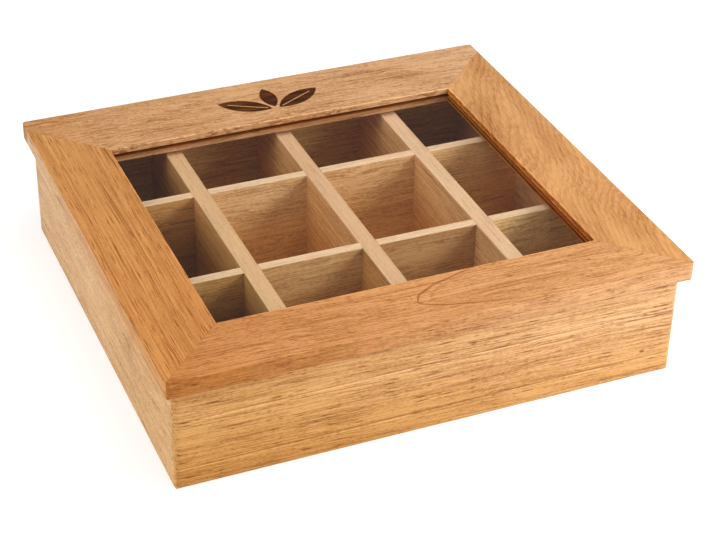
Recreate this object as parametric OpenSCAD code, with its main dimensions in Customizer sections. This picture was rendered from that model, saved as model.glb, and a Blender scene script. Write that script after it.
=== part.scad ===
// Hinged wooden box with a framed window in its lid and a grid of open compartments.
// Lengths are in millimetres. X runs left to right, Y front to back and Z up.
// The origin lies on the underside, below the middle of the lid.

/* [Lid] */
// Width of the lid, left to right
lid_w = 335; // [325:1:345]
// Depth of the lid, front to back
lid_d = 316; // [306:1:326]
// Thickness of the lid rails
lid_t = 13; // [12:0.5:15]
// Width of the front rail and of both side rails
rail_w = 45; // [42:1:48]
// Width of the back rail
back_rail_w = 58; // [54:1:62]
// Radius along the lower outer edges
lid_round = 3; // [1:0.5:4]
// Radius of the four upright corners of the lid
lid_corner_r = 3.5; // [1:0.5:5]
// Radius on the upper outer edges of the rails
rail_arris = 0.8; // [0.4:0.2:1.2]
// Radius on the upper edges round the window
window_arris = 0.5; // [0.3:0.1:0.8]
// Depth of the leaf motif burnt into the back rail
motif_depth = 0.5; // [0.2:0.1:1]

/* [Window] */
// Thickness of wood left above the pane
lip_t = 4; // [3.5:0.5:5]
// Width of the rabbet that holds the pane
rabbet_w = 7; // [6:0.5:8]
// Thickness of the pane
pane_t = 2; // [2:0.5:4]
// Height of the beads that hold the pane up against the lip
bead_height = 4.5; // [3:0.5:5]
// Gap between the edge of the pane and the rabbet
pane_gap = 0.5; // [0.2:0.1:1]

/* [Walls] */
// How far the lid stands out past each side wall
side_overhang = 5; // [4:0.5:7]
// How far the lid stands out past the front wall
front_overhang = 6.5; // [4:0.5:8]
// How far the lid stands out past the back wall
back_overhang = 6.5; // [6:0.5:8]
// Height of the walls and the dividers
wall_h = 68.8; // [60:0.1:90]
// Thickness of the walls
wall_t = 11.5; // [11:0.5:13]
// Gap between the closed lid and the top of the walls
lid_gap = 0.2; // [0.1:0.1:0.6]
// Radius of the four upright corners of the walls
wall_corner_r = 4; // [2:0.5:5]
// Radius along the bottom edges of the walls
wall_round = 2; // [1:0.5:3]

/* [Dividers] */
// Thickness of the dividers that run front to back
long_divider_t = 11; // [8:0.5:12]
// Thickness of the dividers that run left to right
cross_divider_t = 6.5; // [5:0.5:9]
// Depth of the grooves in the walls that hold the divider ends
groove_depth = 3; // [2:0.5:4]
// Radius on the upper edges of the walls and the dividers
box_arris = 0.6; // [0.2:0.2:1]

/* [Base] */
// Thickness of the base panel
base_t = 4; // [3:0.5:6]
// Width of the rabbet in the walls that holds the base panel
base_rabbet_w = 6; // [5:0.5:7]
// Gap between the edge of the base panel and its rabbet
base_gap = 0.2; // [0.1:0.1:0.4]

/* [Hinges] */
// Distance of each hinge from the middle of the box
hinge_x = 115; // [108:1:120]
// Length of a hinge along its pin
hinge_len = 38; // [34:1:42]
// How far the pin lies behind the back wall
pin_offset = 0.8; // [0.6:0.1:1.2]
// Thickness of a hinge leaf
leaf_t = 1; // [0.8:0.1:1.2]
// Width of a leaf from the pin to its free edge
leaf_w = 10; // [9:0.5:10]
// Outer radius of the knuckles
knuckle_r = 2; // [1.8:0.1:2.2]
// Radius of the hinge pin
pin_r = 1; // [0.8:0.1:1.1]

/* [Hidden] */
$fn = 48;

// Which side of the box or the lid a module builds
left = -1;
right = 1;
front = -1;
back = 1;
sides = [-1, 1];

// Extra reach of every cutting shape, so that no cut ends on a face
over = 1;

// Outer sizes of the box below the lid
box_w = lid_w - 2 * side_overhang;
box_front = front_overhang - lid_d / 2;
box_back = lid_d / 2 - back_overhang;
box_d = box_back - box_front;
box_mid_y = (box_front + box_back) / 2;

// Inner sizes between the walls
inner_w = box_w - 2 * wall_t;
inner_front = box_front + wall_t;
inner_back = box_back - wall_t;
inner_d = inner_back - inner_front;

// The grid of compartments
columns = 4;
rows = 3;
cell_w = (inner_w - (columns - 1) * long_divider_t) / columns;
cell_d = (inner_d - (rows - 1) * cross_divider_t) / rows;
column_pitch = cell_w + long_divider_t;
row_pitch = cell_d + cross_divider_t;
column_x = [for (i = [0 : columns - 1]) (i - (columns - 1) / 2) * column_pitch];
row_y = [for (i = [0 : rows - 1]) box_mid_y + (i - (rows - 1) / 2) * row_pitch];
long_x = [for (i = [1 : columns - 1]) (i - columns / 2) * column_pitch];
cross_y = [for (i = [1 : rows - 1]) box_mid_y + (i - rows / 2) * row_pitch];
divider_h = wall_h - base_t;
lap_z = base_t + divider_h / 2;

// The lid, its window and what holds the pane
lid_z = wall_h + lid_gap;
lid_top = lid_z + lid_t;
win_x = lid_w / 2 - rail_w;
win_front = rail_w - lid_d / 2;
win_back = lid_d / 2 - back_rail_w;
win_mid_y = (win_front + win_back) / 2;
win_d = win_back - win_front;
mitre_back = win_back + rail_w;
pane_top = lid_top - lip_t;
bead_h = min(bead_height, lid_t - lip_t - pane_t);
bead_z = pane_top - pane_t - bead_h;
bead_round = bead_h * 0.3;

// Tongues across the lid's mitres
tongue_t = 3;
tongue_len = 28;
tongue_w = 12;
tongue_z = lid_z + 3.5;

// The hinges: the pin lies just behind the back wall, level with the gap under the lid
hinge_y = box_back + pin_offset;
hinge_z = wall_h + lid_gap / 2;
knuckles = 5;
knuckle_len = hinge_len / knuckles;
knuckle_gap = 0.2;
knuckle_room = 0.3;
running_gap = 0.05;
leaf_corner_r = 1;
pin_bevel = 0.3;
screw_dx = 12;
screw_y = hinge_y - leaf_w * 0.6;
screw_head_r = 2.2;
screw_r = 1.2;
screw_tip_r = 0.2;
screw_tip_share = 0.2;
box_screw_len = 11;
lid_screw_len = 8.5;
recess_len = 2.6;
recess_w = 0.6;
recess_depth = 0.7;

// Brads through the base panel, and pins through the beads
brad_r = 0.8;
brad_len = 16;
brad_head_r = 1.5;
brad_head_t = 0.6;
brad_sink = 0.2;
brad_inset = 3;
side_brad_x = inner_w / 2 + brad_inset;
bead_pin_r = 0.5;
bead_pin_len = 12;
bead_pin_sink = 0.8;
bead_pin_z = bead_z + bead_h / 2;
bead_pin_x = [-80, 0, 80];
bead_pin_y = [win_mid_y - 60, win_mid_y + 60];

// The leaf motif on the back rail: a bud between two spread leaves
motif_y = win_back + back_rail_w / 2;
motif_foot = -14;
motif_spread = 62;
stalk_gap = 3;
bud_len = 27;
bud_w = 11;
leaf_len = 38;
leaf_spread_w = 15;
vein_w = 1;
vein_start = 0.08;
vein_share = 0.74;

lid_wood = [0.84, 0.60, 0.37];
wall_wood = [0.85, 0.66, 0.42];
side_wood = [0.87, 0.71, 0.53];
divider_wood = [0.85, 0.72, 0.54];
plywood = [0.80, 0.66, 0.47];
brass_metal = [0.80, 0.64, 0.34];
steel_metal = [0.72, 0.72, 0.74];
clear_pane = [0.80, 0.90, 0.90, 0.3];

// Outline of a board along X whose ends are cut at 45 degrees. half is half its
// length, y_out the place of its outer face and w its width.
function mitred_along_x(side, half, y_out, w) = [
    [-half - over, y_out + side * over],
    [half + over, y_out + side * over],
    [half - w - over, y_out - side * (w + over)],
    [-half + w + over, y_out - side * (w + over)]
];

// The same for a board along Y, from y_front to y_back, with its outer face at half
function mitred_along_y(side, half, w, y_front, y_back) = [
    [side * (half + over), y_front - over],
    [side * (half - w - over), y_front + w + over],
    [side * (half - w - over), y_back - w - over],
    [side * (half + over), y_back + over]
];

// Outline of the back rail, square at its ends and then mitred to the side rails
back_rail_plan = [
    [-lid_w / 2 - over, lid_d / 2 + over],
    [-lid_w / 2 - over, mitre_back + over],
    [-win_x + over, win_back - over],
    [win_x - over, win_back - over],
    [lid_w / 2 + over, mitre_back + over],
    [lid_w / 2 + over, lid_d / 2 + over]
];

// What a radius of r takes off a square corner at the origin, which fills +x and +y
module corner_waste(r) {
    if (r > 0)
        difference() {
            translate([-over, -over]) square(r + over);
            translate([r, r]) circle(r);
        }
}

// What a radius takes off a board's upper edge, with the board on the side given
module edge_waste(side, r) {
    if (side < 0) rotate(180) corner_waste(r);
    else mirror([0, 1]) corner_waste(r);
}

// Upright section of a board, centred left to right, with a radius at each lower
// corner and one for both upper corners
module board_section(w, h, low_left, low_right, top) {
    difference() {
        translate([-w / 2, 0]) square([w, h]);
        translate([-w / 2, 0]) corner_waste(low_left);
        translate([w / 2, 0]) mirror([1, 0]) corner_waste(low_right);
        translate([-w / 2, h]) edge_waste(1, top);
        translate([w / 2, h]) edge_waste(-1, top);
    }
}

// Rectangle about the origin with round corners
module rounded_plan(w, d, r) {
    difference() {
        square([w, d], center = true);
        for (turn = [0, 180]) rotate(turn) {
            translate([-w / 2, -d / 2]) corner_waste(r);
            translate([w / 2, -d / 2]) mirror([1, 0]) corner_waste(r);
        }
    }
}

// Carries a section along X, with the section's own x towards +Y
module run_x(len) {
    rotate([90, 0, 90]) translate([0, 0, -len / 2]) linear_extrude(len) children();
}

// Carries a section along Y, with the section's own x towards +X
module run_y(len) {
    rotate([90, 0, 0]) translate([0, 0, -len / 2]) linear_extrude(len) children();
}

// A rectangular block with a radius on its lower edges, its upper edges and its corners
module rounded_block(w, d, h, low, top, corner) {
    intersection() {
        run_x(w + 2 * over) board_section(d, h, low, low, top);
        run_y(d + 2 * over) board_section(w, h, low, low, top);
        translate([0, 0, -over]) linear_extrude(h + 2 * over) rounded_plan(w, d, corner);
    }
}

// A prism through a board's whole thickness, over the outline given
module plan_prism(outline, z, h) {
    translate([0, 0, z - over]) linear_extrude(h + 2 * over) polygon(outline);
}

// What the walls leave free: the inside, the base rabbet and the grooves for the dividers
module box_hollow() {
    translate([-inner_w / 2, inner_front, -over])
        cube([inner_w, inner_d, wall_h + 2 * over]);
    translate([-inner_w / 2 - base_rabbet_w, inner_front - base_rabbet_w, -over])
        cube([inner_w + 2 * base_rabbet_w, inner_d + 2 * base_rabbet_w, base_t + over]);
    for (x = long_x)
        translate([x - long_divider_t / 2, inner_front - groove_depth, 0])
            cube([long_divider_t, inner_d + 2 * groove_depth, wall_h + over]);
    for (y = cross_y)
        translate([-inner_w / 2 - groove_depth, y - cross_divider_t / 2, 0])
            cube([inner_w + 2 * groove_depth, cross_divider_t, wall_h + over]);
}

// Places for the brads: into the front and back walls, the side walls and the long dividers
module at_brads() {
    for (x = column_x, y = [inner_front - brad_inset, inner_back + brad_inset])
        translate([x, y, 0]) children();
    for (x = concat([-side_brad_x, side_brad_x], long_x), y = row_y)
        translate([x, y, 0]) children();
}

// One brad, driven up from the underside
module brad() {
    translate([0, 0, brad_sink]) cylinder(r = brad_head_r, h = brad_head_t);
    translate([0, 0, brad_sink]) cylinder(r = brad_r, h = brad_len);
}

// One wall of the box, cut from a rounded block by its outline in plan
module wall(outline) {
    difference() {
        intersection() {
            translate([0, box_mid_y, 0])
                rounded_block(box_w, box_d, wall_h, wall_round, box_arris, wall_corner_r);
            plan_prism(outline, 0, wall_h);
        }
        box_hollow();
        at_brads() brad();
    }
}

// The front wall or the back wall
module wall_x(side, y_out) {
    wall(mitred_along_x(side, box_w / 2, y_out, wall_t));
}

// The left wall or the right wall
module wall_y(side) {
    wall(mitred_along_y(side, box_w / 2, wall_t, box_front, box_back));
}

// Room in the wall and in the lid for both leaves and the knuckles of both hinges
module hinge_room() {
    for (side = sides) translate([side * hinge_x, hinge_y, hinge_z]) {
        translate([-hinge_len / 2, -leaf_w, -lid_gap / 2 - leaf_t])
            cube([hinge_len, leaf_w, 2 * leaf_t + lid_gap]);
        rotate([0, 90, 0])
            cylinder(r = knuckle_r + knuckle_room, h = hinge_len + 2 * knuckle_room, center = true);
    }
}

// A countersunk wood screw that points down, with its flat head at the origin
module wood_screw(len) {
    tip = len * screw_tip_share;
    translate([0, 0, -leaf_t]) cylinder(r1 = screw_r, r2 = screw_head_r, h = leaf_t);
    translate([0, 0, tip - len]) cylinder(r = screw_r, h = len - tip);
    translate([0, 0, -len]) cylinder(r1 = screw_tip_r, r2 = screw_r, h = tip);
}

// The cross recess in a screw's head
module screw_recess() {
    for (turn = [45, 135]) rotate(turn)
        translate([-recess_len / 2, -recess_w / 2, -recess_depth])
            cube([recess_len, recess_w, recess_depth + over]);
}

// Places for the two screws of a leaf: those of the box point down, those of the lid up
module at_box_screws(side) {
    for (dx = [-screw_dx, screw_dx]) translate([side * hinge_x + dx, screw_y, wall_h]) children();
}

module at_lid_screws(side) {
    for (dx = [-screw_dx, screw_dx])
        translate([side * hinge_x + dx, screw_y, lid_z]) mirror([0, 0, 1]) children();
}

// The plain plate of a leaf, from its free edge to the middle of the pin
module leaf_plate(z) {
    translate([0, 0, z]) linear_extrude(leaf_t) difference() {
        translate([-hinge_len / 2, -leaf_w]) square([hinge_len, leaf_w]);
        translate([-hinge_len / 2, -leaf_w]) corner_waste(leaf_corner_r);
        translate([hinge_len / 2, -leaf_w]) mirror([1, 0]) corner_waste(leaf_corner_r);
    }
}

// One leaf about its pin. first is 0 with the outer knuckles and 1 with those between
// them, and z is the underside of the plate.
module hinge_leaf(first, z, bore_r) {
    room = knuckle_r + knuckle_room;
    difference() {
        union() {
            leaf_plate(z);
            for (i = [first : 2 : knuckles - 1])
                translate([(i - knuckles / 2) * knuckle_len + knuckle_gap / 2, 0, 0])
                    rotate([0, 90, 0]) cylinder(r = knuckle_r, h = knuckle_len - knuckle_gap);
        }
        for (i = [1 - first : 2 : knuckles - 1])
            translate([(i - knuckles / 2) * knuckle_len - knuckle_gap / 2, -room, -room])
                cube([knuckle_len + knuckle_gap, 2 * room, 2 * room]);
        rotate([0, 90, 0]) cylinder(r = bore_r, h = hinge_len + 2 * over, center = true);
    }
}

// Outline of a pointed leaf that starts at the origin and runs along +X
module leaf_outline(len, w) {
    r = (len * len + w * w) / (4 * w);
    translate([len / 2, 0]) intersection() {
        translate([0, r - w / 2]) circle(r, $fn = 96);
        translate([0, w / 2 - r]) circle(r, $fn = 96);
    }
}

// A spread leaf with a bare vein along its middle
module veined_leaf() {
    difference() {
        leaf_outline(leaf_len, leaf_spread_w);
        translate([leaf_len * vein_start, -vein_w / 2]) square([leaf_len * vein_share, vein_w]);
    }
}

// The motif, sunk into the top of the back rail
module motif() {
    translate([0, motif_y + motif_foot, lid_top - motif_depth])
        linear_extrude(motif_depth + over) {
            rotate(90) translate([stalk_gap, 0]) leaf_outline(bud_len, bud_w);
            for (side = sides)
                rotate(90 + side * motif_spread) translate([stalk_gap, 0]) veined_leaf();
        }
}

// The window opening and the rabbet under its lip
module window_waste() {
    translate([-win_x, win_front, lid_z - over])
        cube([2 * win_x, win_d, lid_t + 2 * over]);
    translate([-win_x - rabbet_w, win_front - rabbet_w, lid_z - over])
        cube([2 * (win_x + rabbet_w), win_d + 2 * rabbet_w, pane_top - lid_z + over]);
}

// The tongue across the mitre at one corner of the lid
module corner_tongue(side, end) {
    y = end < 0 ? win_front - rail_w / 2 : win_back + rail_w / 2;
    translate([side * (win_x + rail_w / 2), y, tongue_z]) rotate(side * end * 45)
        linear_extrude(tongue_t) rounded_plan(tongue_len, tongue_w, tongue_w / 3);
}

// One pin that runs along +Y, its head sunk behind the face of a bead and filled over
module bead_pin() {
    translate([0, bead_pin_sink, 0]) rotate([-90, 0, 0]) cylinder(r = bead_pin_r, h = bead_pin_len);
}

// Every pin through the four beads into the rails
module all_bead_pins() {
    for (x = bead_pin_x) {
        translate([x, win_back, bead_pin_z]) bead_pin();
        translate([x, win_front, bead_pin_z]) mirror([0, 1, 0]) bead_pin();
    }
    for (y = bead_pin_y, side = sides)
        translate([side * win_x, y, bead_pin_z]) rotate(side * -90) bead_pin();
}

// One rail of the lid, cut from a rounded block by its outline in plan
module rail(outline) {
    difference() {
        intersection() {
            translate([0, 0, lid_z])
                rounded_block(lid_w, lid_d, lid_t, lid_round, rail_arris, lid_corner_r);
            plan_prism(outline, lid_z, lid_t);
        }
        window_waste();
        for (side = sides, end = sides) corner_tongue(side, end);
        all_bead_pins();
    }
}

// What is taken off the window's upper edge at the front or the back rail
module window_edge_x(side) {
    translate([0, side < 0 ? win_front : win_back, lid_top])
        run_x(lid_w) edge_waste(side, window_arris);
}

// The same at a side rail
module window_edge_y(side) {
    translate([side * win_x, win_mid_y, lid_top]) run_y(lid_d) edge_waste(side, window_arris);
}

// Section of a bead, with its visible lower edge rounded
module bead_section(side) {
    board_section(rabbet_w, bead_h, side < 0 ? 0 : bead_round, side < 0 ? bead_round : 0, 0);
}

module front_wall() {
    color(wall_wood) wall_x(front, box_front);
}

module back_wall() {
    color(wall_wood) difference() {
        wall_x(back, box_back);
        hinge_room();
        for (side = sides) at_box_screws(side) wood_screw(box_screw_len);
    }
}

module left_wall() {
    color(side_wood) wall_y(left);
}

module right_wall() {
    color(side_wood) wall_y(right);
}

module base_panel() {
    w = inner_w + 2 * (base_rabbet_w - base_gap);
    d = inner_d + 2 * (base_rabbet_w - base_gap);
    color(plywood) difference() {
        translate([-w / 2, box_mid_y - d / 2, 0]) cube([w, d, base_t]);
        at_brads() brad();
        at_brads() translate([0, 0, -over]) cylinder(r = brad_head_r, h = over + brad_sink);
    }
}

// A divider that runs front to back, notched from below over the cross dividers
module long_divider(i) {
    color(divider_wood) difference() {
        translate([long_x[i], box_mid_y, base_t])
            run_y(inner_d + 2 * groove_depth)
                board_section(long_divider_t, divider_h, 0, 0, box_arris);
        for (y = cross_y)
            translate([long_x[i] - long_divider_t, y - cross_divider_t / 2, base_t - over])
                cube([2 * long_divider_t, cross_divider_t, lap_z - base_t + over]);
        at_brads() brad();
    }
}

// A divider that runs left to right, notched from above under the long dividers
module cross_divider(i) {
    color(divider_wood) difference() {
        translate([0, cross_y[i], base_t])
            run_x(inner_w + 2 * groove_depth)
                board_section(cross_divider_t, divider_h, 0, 0, box_arris);
        for (x = long_x)
            translate([x - long_divider_t / 2, cross_y[i] - cross_divider_t, lap_z])
                cube([long_divider_t, 2 * cross_divider_t, wall_h - lap_z + over]);
    }
}

module base_brads() {
    color(steel_metal) at_brads() brad();
}

module lid_front_rail() {
    color(lid_wood) difference() {
        rail(mitred_along_x(front, lid_w / 2, -lid_d / 2, rail_w));
        window_edge_x(front);
    }
}

module lid_back_rail() {
    color(lid_wood) difference() {
        rail(back_rail_plan);
        window_edge_x(back);
        hinge_room();
        for (side = sides) at_lid_screws(side) wood_screw(lid_screw_len);
        motif();
    }
}

// The left rail or the right rail
module lid_side_rail(side) {
    color(lid_wood) difference() {
        rail(mitred_along_y(side, lid_w / 2, rail_w, -lid_d / 2, mitre_back));
        window_edge_y(side);
    }
}

module mitre_tongue(side, end) {
    color(plywood) corner_tongue(side, end);
}

module window_pane() {
    w = 2 * (win_x + rabbet_w - pane_gap);
    d = win_d + 2 * (rabbet_w - pane_gap);
    color(clear_pane) translate([-w / 2, win_mid_y - d / 2, pane_top - pane_t]) cube([w, d, pane_t]);
}

// The glazing bead under the pane at the front or the back
module glazing_bead_x(side) {
    y_out = side < 0 ? win_front - rabbet_w : win_back + rabbet_w;
    half = win_x + rabbet_w;
    color(lid_wood) difference() {
        intersection() {
            translate([0, y_out - side * rabbet_w / 2, bead_z]) run_x(2 * half) bead_section(side);
            plan_prism(mitred_along_x(side, half, y_out, rabbet_w), bead_z, bead_h);
        }
        all_bead_pins();
    }
}

// The glazing bead under the pane at the left or the right
module glazing_bead_y(side) {
    y_front = win_front - rabbet_w;
    y_back = win_back + rabbet_w;
    half = win_x + rabbet_w;
    color(lid_wood) difference() {
        intersection() {
            translate([side * (half - rabbet_w / 2), win_mid_y, bead_z])
                run_y(y_back - y_front) bead_section(side);
            plan_prism(mitred_along_y(side, half, rabbet_w, y_front, y_back), bead_z, bead_h);
        }
        all_bead_pins();
    }
}

module bead_pins() {
    color(steel_metal) all_bead_pins();
}

// The leaf let into the top of the back wall, with the outer knuckles
module hinge_box_leaf(side) {
    color(brass_metal) difference() {
        translate([side * hinge_x, hinge_y, hinge_z]) hinge_leaf(0, -lid_gap / 2 - leaf_t, pin_r);
        at_box_screws(side) wood_screw(box_screw_len);
    }
}

// The leaf let into the underside of the back rail, with the knuckles between
module hinge_lid_leaf(side) {
    color(brass_metal) difference() {
        translate([side * hinge_x, hinge_y, hinge_z])
            hinge_leaf(1, lid_gap / 2, pin_r + running_gap);
        at_lid_screws(side) wood_screw(lid_screw_len);
    }
}

// The pin of one hinge, with a small bevel at both ends
module hinge_pin(side) {
    color(brass_metal)
        translate([side * hinge_x, hinge_y, hinge_z]) rotate([0, 90, 0]) {
            cylinder(r = pin_r, h = hinge_len - 2 * pin_bevel, center = true);
            for (turn = [0, 180]) rotate([turn, 0, 0])
                translate([0, 0, hinge_len / 2 - pin_bevel])
                    cylinder(r1 = pin_r, r2 = pin_r - pin_bevel, h = pin_bevel);
        }
}

module box_leaf_screws(side) {
    color(brass_metal) difference() {
        at_box_screws(side) wood_screw(box_screw_len);
        at_box_screws(side) screw_recess();
    }
}

module lid_leaf_screws(side) {
    color(brass_metal) difference() {
        at_lid_screws(side) wood_screw(lid_screw_len);
        at_lid_screws(side) screw_recess();
    }
}

front_wall();
back_wall();
left_wall();
right_wall();
base_panel();
long_divider(0);  // long_divider_left
long_divider(1);  // long_divider_middle
long_divider(2);  // long_divider_right
cross_divider(0);  // cross_divider_front
cross_divider(1);  // cross_divider_back
base_brads();
lid_front_rail();
lid_back_rail();
lid_side_rail(left);  // lid_left_rail
lid_side_rail(right);  // lid_right_rail
mitre_tongue(left, front);  // mitre_tongue_front_left
mitre_tongue(right, front);  // mitre_tongue_front_right
mitre_tongue(left, back);  // mitre_tongue_back_left
mitre_tongue(right, back);  // mitre_tongue_back_right
window_pane();
glazing_bead_x(front);  // glazing_bead_front
glazing_bead_x(back);  // glazing_bead_back
glazing_bead_y(left);  // glazing_bead_left
glazing_bead_y(right);  // glazing_bead_right
bead_pins();
hinge_box_leaf(left);  // hinge_box_leaf_left
hinge_box_leaf(right);  // hinge_box_leaf_right
hinge_lid_leaf(left);  // hinge_lid_leaf_left
hinge_lid_leaf(right);  // hinge_lid_leaf_right
hinge_pin(left);  // hinge_pin_left
hinge_pin(right);  // hinge_pin_right
box_leaf_screws(left);  // box_leaf_screws_left
box_leaf_screws(right);  // box_leaf_screws_right
lid_leaf_screws(left);  // lid_leaf_screws_left
lid_leaf_screws(right);  // lid_leaf_screws_right
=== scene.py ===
"""Looks of a wooden compartment box with a framed window in its hinged lid.

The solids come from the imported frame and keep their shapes. This file gives every board its own cut of
oiled hardwood, the window its clear pane, the hinges and nails their metal, and sets a white studio."""

import math

import bpy
from bpy.props import FloatProperty, FloatVectorProperty, PointerProperty
from bpy.types import Operator, Panel, PropertyGroup
from mathutils import Matrix, Vector


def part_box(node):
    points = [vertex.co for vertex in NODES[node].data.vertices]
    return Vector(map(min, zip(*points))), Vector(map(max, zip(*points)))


bl_info = {
    "name": "Wooden compartment box",
    "version": (1, 0, 0),
    "blender": (4, 5, 0),
    "location": "View3D > Sidebar > Compartment box",
    "description": "Finishes the boards, pane and metal of a wooden box and sets its studio",
    "category": "Object",
}

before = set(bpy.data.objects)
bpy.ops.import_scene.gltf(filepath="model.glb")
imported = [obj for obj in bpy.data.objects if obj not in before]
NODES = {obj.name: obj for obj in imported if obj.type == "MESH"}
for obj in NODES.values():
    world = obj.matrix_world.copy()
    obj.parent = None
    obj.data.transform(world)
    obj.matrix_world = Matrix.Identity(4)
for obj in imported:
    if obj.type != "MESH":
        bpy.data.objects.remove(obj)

WHITE = (1.0, 1.0, 1.0, 1.0)
MM = 1000.0  # object coordinates are metres, and the wood's patterns are laid out in millimetres


def srgb(red, green, blue):
    """A colour given in 0 to 255 sRGB steps, as linear light."""

    def linear(step):
        c = step / 255
        return c / 12.92 if c <= 0.04045 else ((c + 0.055) / 1.055) ** 2.4

    return (linear(red), linear(green), linear(blue))


def corners_mm(node):
    """Lowest and highest corner of a node in millimetres."""
    return [[c * MM for c in corner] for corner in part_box(node)]


# Places on the boards that their marks are laid out from, in millimetres, read from the frame
BACK_LOW, BACK_HIGH = corners_mm("lid_back_rail")
FRONT_LOW, FRONT_HIGH = corners_mm("lid_front_rail")
SIDE_LOW, SIDE_HIGH = corners_mm("lid_right_rail")
WALL_LOW, WALL_HIGH = corners_mm("front_wall")
BEAD_LOW, BEAD_HIGH = corners_mm("glazing_bead_back")
LEFT_CROSSING = sum(corner[0] for corner in corners_mm("long_divider_left")) / 2
ROW_CROSSING = sum(corner[1] for corner in corners_mm("cross_divider_back")) / 2
ROW_END = corners_mm("back_wall")[0][1]
LID_HALF_W = BACK_HIGH[0]
LID_TOP = BACK_HIGH[2]


# Settings that a user would change

def colour_setting(name, description, default):
    return FloatVectorProperty(name=name, description=description, default=default, size=3,
                               subtype="COLOR", min=0.0, max=1.0)


def length_setting(name, description, millimetres):
    return FloatProperty(name=name, description=description, default=millimetres / MM, min=0.0,
                         precision=5, subtype="DISTANCE", unit="LENGTH")


def share_setting(name, description, default, most=1.0):
    return FloatProperty(name=name, description=description, default=default, min=0.0, max=most,
                         subtype="FACTOR")


def power_setting(name, description, default):
    return FloatProperty(name=name, description=description, default=default, min=0.0,
                         subtype="POWER", unit="POWER")


def angle_setting(name, description, degrees):
    return FloatProperty(name=name, description=description, default=math.radians(degrees),
                         subtype="ANGLE", unit="ROTATION")


class TEABOX_PG_wood(PropertyGroup):
    """Colours and grain of the boards"""
    front_rail: colour_setting("Front rail", "Mean colour of the lid's front rail", srgb(194, 138, 86))
    back_rail: colour_setting("Back rail", "Mean colour of the lid's back rail", srgb(196, 150, 107))
    left_rail: colour_setting("Left rail", "Mean colour of the lid's left rail", srgb(191, 133, 75))
    right_rail: colour_setting("Right rail", "Mean colour of the lid's right rail", srgb(194, 142, 90))
    front_wall: colour_setting("Front wall", "Mean colour of the front wall", srgb(206, 157, 101))
    back_wall: colour_setting("Back wall", "Mean colour of the back wall", srgb(206, 164, 110))
    side_walls: colour_setting("Side walls", "Mean colour of the side walls", srgb(203, 162, 113))
    dividers: colour_setting("Dividers", "Mean colour of the dividers", srgb(217, 172, 118))
    base: colour_setting("Base", "Mean colour of the base panel", srgb(206, 168, 122))
    burn: colour_setting("Burnt motif", "Colour of the burnt leaves on the back rail", srgb(70, 37, 15))
    pore_length: length_setting("Pore length", "Pitch of the open pores along the grain", 24.0)
    pore_width: length_setting("Pore width", "Pitch of the open pores across the grain", 1.3)
    ring_width: length_setting("Ring width", "Mean distance between two growth rings", 7.0)
    # wear also sets the painted highlight along the arrises
    wear: share_setting("Edge wear", "How much lighter the arrises have been rubbed", 0.2)


class TEABOX_PG_fittings(PropertyGroup):
    """Colours of the pane and the metal"""
    pane: colour_setting("Pane", "Tint of the light that passes the pane", (0.985, 0.985, 0.98))
    pane_shine: share_setting("Pane shine", "Share of a polished surface's reflection", 0.6)
    brass: colour_setting("Brass", "Colour of the hinges and their screws", srgb(214, 176, 104))
    steel: colour_setting("Steel", "Colour of the brads and bead pins", srgb(190, 190, 194))


class TEABOX_PG_studio(PropertyGroup):
    """Floor, lights and camera"""
    floor: colour_setting("Floor", "Colour of the floor", (0.6, 0.6, 0.6))
    glow: share_setting("Floor glow", "Light that the floor gives off, as a lit table does", 0.52)
    air: share_setting("Room light", "Strength of the even light from all around", 0.2, 5.0)
    key_power: power_setting("Key light", "Power of the softbox at the right front", 12.0)
    top_power: power_setting("Top light", "Power of the softbox above", 17.0)
    left_power: power_setting("Left light", "Power of the softbox at the left", 16.0)
    azimuth: angle_setting("Azimuth", "Camera's turn about the box, 0 at its front", -23.338)
    elevation: angle_setting("Elevation", "Camera's angle above the floor", 33.27)
    roll: angle_setting("Roll", "Camera's turn about its own line of sight", 1.234)
    distance: FloatProperty(name="Distance", description="From the camera to the point it looks at",
                            default=1.17879, min=0.1, subtype="DISTANCE", unit="LENGTH")
    target: FloatVectorProperty(name="Target", description="Point that the camera looks at", size=3,
                                default=(-0.003571, -0.039859, 0.045), subtype="TRANSLATION",
                                unit="LENGTH")
    lens: FloatProperty(name="Lens", description="Focal length of the camera in millimetres",
                        default=93.688, min=10.0, subtype="DISTANCE_CAMERA", unit="CAMERA")


# Shader trees

class Value:
    """One socket of a shader tree. Arithmetic on it adds Math nodes to the tree."""

    def __init__(self, sheet, socket):
        self.sheet = sheet
        self.socket = socket

    def __add__(self, other):
        return self.sheet.math("ADD", self, other)

    __radd__ = __add__

    def __sub__(self, other):
        return self.sheet.math("SUBTRACT", self, other)

    def __rsub__(self, other):
        return self.sheet.math("SUBTRACT", other, self)

    def __mul__(self, other):
        return self.sheet.math("MULTIPLY", self, other)

    __rmul__ = __mul__

    def __truediv__(self, other):
        return self.sheet.math("DIVIDE", self, other)

    def __pow__(self, other):
        return self.sheet.math("POWER", self, other)


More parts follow.
